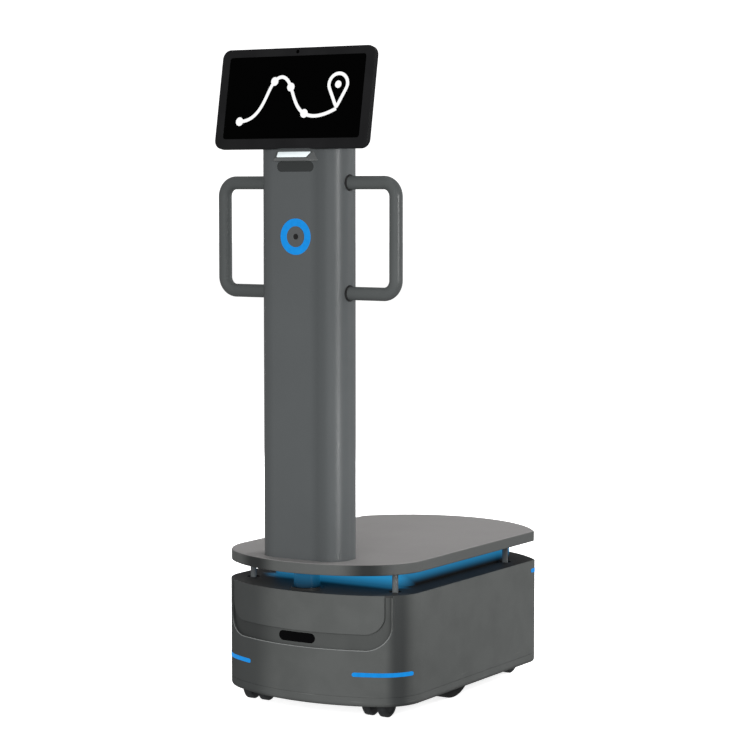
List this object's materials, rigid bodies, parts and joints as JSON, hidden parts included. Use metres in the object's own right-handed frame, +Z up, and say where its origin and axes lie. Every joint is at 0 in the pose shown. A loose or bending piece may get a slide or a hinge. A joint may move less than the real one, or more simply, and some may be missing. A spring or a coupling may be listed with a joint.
{
  "type": "delivery robot",
  "caption": "Indoor delivery robot: wheeled base with a curved front, open load deck, rounded column with side grab handles, ring-lit button and a tilting display on top.",
  "frame": {"origin": "on the floor under the middle of the robot's bounding box", "axes": "+Z up along the column, -Y to the robot's front, +X to the viewer's right seen from the front"},
  "size_m": [0.4352, 0.7199, 1.3],
  "materials": {
    "shell_plastic": "moulded, fine matt texture",
    "band_plastic": "moulded, fine matt texture",
    "dark_plastic": "matt",
    "deck_laminate": "matt, fine grain",
    "column_paint": "satin powder coat on aluminium",
    "handle_paint": "satin powder coat on steel tube",
    "chassis_steel": "black powder coat",
    "bright_steel": "turned",
    "tyre_rubber": "matt",
    "soft_rubber": "matt",
    "wheel_plastic": "satin",
    "alloy": "satin",
    "black_window": "polished, dark tinted",
    "screen_glass": "polished",
    "blue_light": "lit diffuser",
    "contact_brass": "polished"
  },
  "bodies": {
    "chassis": {"base_shell": "shell_plastic", "front_band": "band_plastic", "front_panel": "shell_plastic", "front_lights": "blue_light", "rear_lights": "blue_light", "charge_plate": "dark_plastic", "charge_contacts": "contact_brass", "power_housing": "dark_plastic", "base_lid": "dark_plastic", "chassis_plate": "chassis_steel", "deck_plate": "deck_laminate", "deck_posts": "bright_steel", "neck_core": "dark_plastic", "glow_band": "blue_light", "lidar_base": "dark_plastic", "column_tube": "column_paint", "column_foot": "alloy", "column_cap": "dark_plastic", "ring_light": "blue_light", "button_cup": "dark_plastic", "camera_hood": "shell_plastic", "camera_windows": "black_window", "depth_cameras": "alloy", "handle_right": "handle_paint", "handle_left": "handle_paint", "handle_grommets": "soft_rubber", "handle_anchors": "chassis_steel", "tilt_bracket": "chassis_steel", "tilt_pin": "bright_steel", "suspension_buffer_right": "soft_rubber", "suspension_buffer_left": "soft_rubber", "suspension_brackets": "chassis_steel", "suspension_pins": "bright_steel", "caster_mounts": "bright_steel", "battery_pack": "dark_plastic", "control_box": "alloy"},
    "display": {"display_frame": "dark_plastic", "display_glass": "screen_glass", "display_lens": "black_window", "display_shell": "dark_plastic", "display_knuckle": "chassis_steel"},
    "ring_button": {"ring_button": "shell_plastic"},
    "power_button": {"power_button": "alloy"},
    "lidar_head": {"lidar_head": "black_window"},
    "arm_right": {"suspension_arm_right": "chassis_steel", "drive_axle_right": "bright_steel"},
    "drive_wheel_right": {"drive_tyre_right": "tyre_rubber", "drive_hub_right": "alloy"},
    "arm_left": {"suspension_arm_left": "chassis_steel", "drive_axle_left": "bright_steel"},
    "drive_wheel_left": {"drive_tyre_left": "tyre_rubber", "drive_hub_left": "alloy"},
    "caster_front_right": {"caster_fork_front_right": "wheel_plastic"},
    "caster_front_right_wheels": {"caster_wheels_front_right": "soft_rubber"},
    "caster_front_left": {"caster_fork_front_left": "wheel_plastic"},
    "caster_front_left_wheels": {"caster_wheels_front_left": "soft_rubber"},
    "caster_rear_right": {"caster_fork_rear_right": "wheel_plastic"},
    "caster_rear_right_wheels": {"caster_wheels_rear_right": "soft_rubber"},
    "caster_rear_left": {"caster_fork_rear_left": "wheel_plastic"},
    "caster_rear_left_wheels": {"caster_wheels_rear_left": "soft_rubber"}
  },
  "joints": [
    {"name": "display_tilt", "type": "hinge", "parent": "chassis", "child": "display", "pos_m": [0, -0.277, 1.158], "axis": [-1, 0, 0], "range_deg": [0, 20]},
    {"name": "ring_button_press", "type": "slide", "parent": "chassis", "child": "ring_button", "axis": [0, 1, 0], "range_m": [0, 0.003], "stiffness_N_per_m": 600, "springref_m": -0.0015},
    {"name": "power_button_press", "type": "slide", "parent": "chassis", "child": "power_button", "axis": [0, -1, 0], "range_m": [0, 0.0025], "stiffness_N_per_m": 800, "springref_m": -0.001},
    {"name": "lidar_spin", "type": "hinge", "parent": "chassis", "child": "lidar_head", "pos_m": [0, -0.292, 0.266], "axis": [0, 0, 1], "continuous": true},
    {"name": "suspension_right", "type": "hinge", "parent": "chassis", "child": "arm_right", "pos_m": [0.124, 0.07, 0.094], "axis": [-1, 0, 0], "range_deg": [-3, 4], "stiffness_Nm_per_rad": 143, "springref_deg": -4.01, "deforming": ["suspension_buffer_right"]},
    {"name": "drive_wheel_right_spin", "type": "hinge", "parent": "arm_right", "child": "drive_wheel_right", "pos_m": [0.166, -0.032, 0.075], "axis": [-1, 0, 0], "continuous": true},
    {"name": "suspension_left", "type": "hinge", "parent": "chassis", "child": "arm_left", "pos_m": [-0.124, 0.07, 0.094], "axis": [-1, 0, 0], "range_deg": [-3, 4], "stiffness_Nm_per_rad": 143, "springref_deg": -4.01, "deforming": ["suspension_buffer_left"]},
    {"name": "drive_wheel_left_spin", "type": "hinge", "parent": "arm_left", "child": "drive_wheel_left", "pos_m": [-0.166, -0.032, 0.075], "axis": [-1, 0, 0], "continuous": true},
    {"name": "caster_front_right_swivel", "type": "hinge", "parent": "chassis", "child": "caster_front_right", "pos_m": [0.142, -0.232, 0.066], "axis": [0, 0, 1], "continuous": true},
    {"name": "caster_front_right_roll", "type": "hinge", "parent": "caster_front_right", "child": "caster_front_right_wheels", "pos_m": [0.142, -0.251, 0.025], "axis": [-1, 0, 0], "continuous": true},
    {"name": "caster_front_left_swivel", "type": "hinge", "parent": "chassis", "child": "caster_front_left", "pos_m": [-0.142, -0.232, 0.066], "axis": [0, 0, 1], "continuous": true},
    {"name": "caster_front_left_roll", "type": "hinge", "parent": "caster_front_left", "child": "caster_front_left_wheels", "pos_m": [-0.142, -0.251, 0.025], "axis": [-1, 0, 0], "continuous": true},
    {"name": "caster_rear_right_swivel", "type": "hinge", "parent": "chassis", "child": "caster_rear_right", "pos_m": [0.142, 0.22, 0.066], "axis": [0, 0, 1], "continuous": true},
    {"name": "caster_rear_right_roll", "type": "hinge", "parent": "caster_rear_right", "child": "caster_rear_right_wheels", "pos_m": [0.142, 0.239, 0.025], "axis": [-1, 0, 0], "continuous": true},
    {"name": "caster_rear_left_swivel", "type": "hinge", "parent": "chassis", "child": "caster_rear_left", "pos_m": [-0.142, 0.22, 0.066], "axis": [0, 0, 1], "continuous": true},
    {"name": "caster_rear_left_roll", "type": "hinge", "parent": "caster_rear_left", "child": "caster_rear_left_wheels", "pos_m": [-0.142, 0.239, 0.025], "axis": [-1, 0, 0], "continuous": true}
  ]
}
